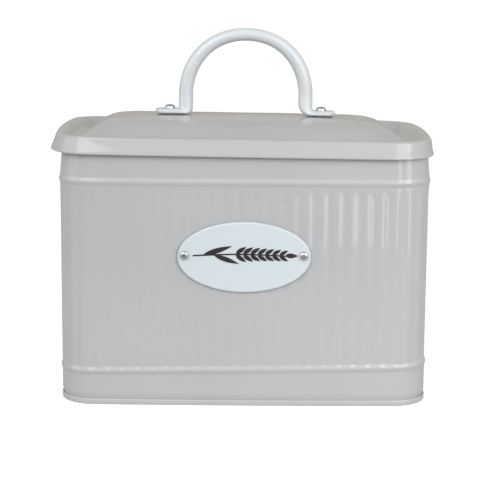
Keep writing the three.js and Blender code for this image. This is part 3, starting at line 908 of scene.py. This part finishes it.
def floor_piece():
    """White paper under the tin. Its light on the tin falls off into the dark in front."""
    nodes = Nodes("floor_paper")
    split = nodes.tree.nodes.new("ShaderNodeSeparateXYZ")
    nodes.tree.links.new(nodes.coords, split.inputs["Vector"])
    fade = nodes.tree.nodes.new("ShaderNodeMapRange")
    fade.inputs["From Min"].default_value = DARK_Y
    fade.inputs["From Max"].default_value = LIT_Y
    nodes.tree.links.new(split.outputs["Y"], fade.inputs["Value"])
    ray = nodes.tree.nodes.new("ShaderNodeLightPath").outputs["Is Camera Ray"]
    lit = nodes.tree.nodes.new("ShaderNodeMath")
    lit.operation = "MAXIMUM"
    nodes.tree.links.new(fade.outputs["Result"], lit.inputs[0])
    nodes.tree.links.new(ray, lit.inputs[1])
    mottled = nodes.ramp(nodes.noise(3, 2), [(0.3, grey(0.34)), (0.7, grey(0.37))])
    faded = nodes.ramp(lit.outputs["Value"], [(0, grey(0.2)), (1, grey(1))])
    nodes.link(nodes.multiply(mottled, faded), "Base Color")
    nodes.link(faded, "Emission Color")
    nodes.shader.inputs["Roughness"].default_value = 0.9
    nodes.shader.inputs["Specular IOR Level"].default_value = 0.0
    nodes.link(nodes.spread(ray, FLOOR_GLOW, FLOOR_GLOW + FLOOR_WHITE), "Emission Strength")
    mesh = bpy.data.meshes.new("floor")
    sides = ((-1, -1), (1, -1), (1, 1), (-1, 1))
    corners = [(x * FLOOR_SIZE, y * FLOOR_SIZE, 0) for x, y in sides]
    mesh.from_pydata(corners, [], [(0, 1, 2, 3)])
    mesh.materials.append(nodes.material)
    floor = bpy.data.objects.new("floor", mesh)
    bpy.context.scene.collection.objects.link(floor)


def sky():
    """White behind the tin; light from the front and above, dimmer and warmer at the back."""
    world = bpy.data.worlds.new("studio")
    bpy.context.scene.world = world
    world.use_nodes = True
    new, link = world.node_tree.nodes.new, world.node_tree.links.new
    direction = new("ShaderNodeSeparateXYZ")
    link(new("ShaderNodeTexCoord").outputs["Generated"], direction.inputs["Vector"])

    def shades(axis, stops):
        share = new("ShaderNodeMapRange")
        share.inputs["From Min"].default_value = -1
        link(direction.outputs[axis], share.inputs["Value"])
        ramp = new("ShaderNodeValToRGB")
        elements = ramp.color_ramp.elements
        while len(elements) < len(stops):
            elements.new(0.5)
        for element, (place, colour) in zip(elements, stops):
            element.position = place
            element.color = (*colour, 1)
        link(share.outputs["Result"], ramp.inputs["Fac"])
        return ramp.outputs["Color"]

    light = new("ShaderNodeVectorMath")
    light.operation = "MULTIPLY"
    link(shades("Y", BY_DEPTH), light.inputs[0])
    link(shades("Z", BY_HEIGHT), light.inputs[1])
    seen = new("ShaderNodeMixRGB")
    link(new("ShaderNodeLightPath").outputs["Is Camera Ray"], seen.inputs["Fac"])
    link(light.outputs["Vector"], seen.inputs["Color1"])
    seen.inputs["Color2"].default_value = (*BACKDROP, 1)
    link(seen.outputs["Color"], world.node_tree.nodes["Background"].inputs["Color"])


def softbox(name, place, size, radiance, colour):
    """A rectangular light facing the tin, as bright for its size as its radiance says."""
    light = bpy.data.lights.new(name, "AREA")
    light.shape = "RECTANGLE"
    light.size, light.size_y = size
    light.energy = radiance * math.pi * size[0] * size[1]
    light.color = colour
    lamp = bpy.data.objects.new(name, light)
    bpy.context.scene.collection.objects.link(lamp)
    lamp.location = place
    way = Vector(place) - Vector((0, 0, min(place[2], AIM_Z)))
    lamp.rotation_euler = way.to_track_quat("Z", "Y").to_euler()


def camera():
    """A long lens in front of the tin and a little above it."""
    lens = bpy.data.cameras.new("camera")
    lens.sensor_width = 36
    lens.lens = CAMERA_LENS
    lens.shift_y = CAMERA_SHIFT
    eye = bpy.data.objects.new("camera", lens)
    bpy.context.scene.collection.objects.link(eye)
    eye.location = CAMERA_PLACE
    tilt, roll = math.radians(90 - CAMERA_DOWN), math.radians(CAMERA_ROLL)
    eye.rotation_euler = Euler((tilt, roll, 0), "XYZ")
    bpy.context.scene.camera = eye


# ---- Build ---------------------------------------------------------------------------------------


def main():
    """The tin's pieces, then the studio round it."""
    body_paint = enamel("body_enamel", (0.428, 0.426, 0.418))
    lid_paint = enamel("lid_enamel", (0.414, 0.41, 0.4))
    handle_paint = enamel("handle_enamel", (0.59, 0.61, 0.61), 0.975)
    plate_paint = enamel("plate_enamel", (0.57, 0.615, 0.62), 0.985, (0.22, 0.3), 0.9)

    body_shell(body_paint)
    bottom_pan(body_paint)
    lid_shell(lid_paint)
    handle_piece(handle_paint)
    plate_piece(plate_paint)
    motif_piece(print_ink("print_ink"))
    fasteners(bright_steel("bright_steel"))

    floor_piece()
    sky()
    softbox("window_left", (-0.77, -1.29, 1.15), (1.1, 1.0), 3.4, (0.84, 0.91, 1))
    softbox("window_right", (0.6, -0.82, 0.62), (0.66, 0.7), 2.5, (0.93, 0.95, 1))
    softbox("wall_left", (-1.1, -0.35, 0.35), (0.7, 0.8), 0.9, (1, 0.99, 0.96))
    softbox("strip_near", (0.2, -0.5, 0.17), (0.08, 0.34), 2.8, (0.93, 0.95, 1))
    softbox("strip_far", (0.42, -0.37, 0.17), (0.14, 0.34), 2.4, (0.93, 0.95, 1))
    camera()
    bpy.context.scene.view_settings.view_transform = "Standard"


main()
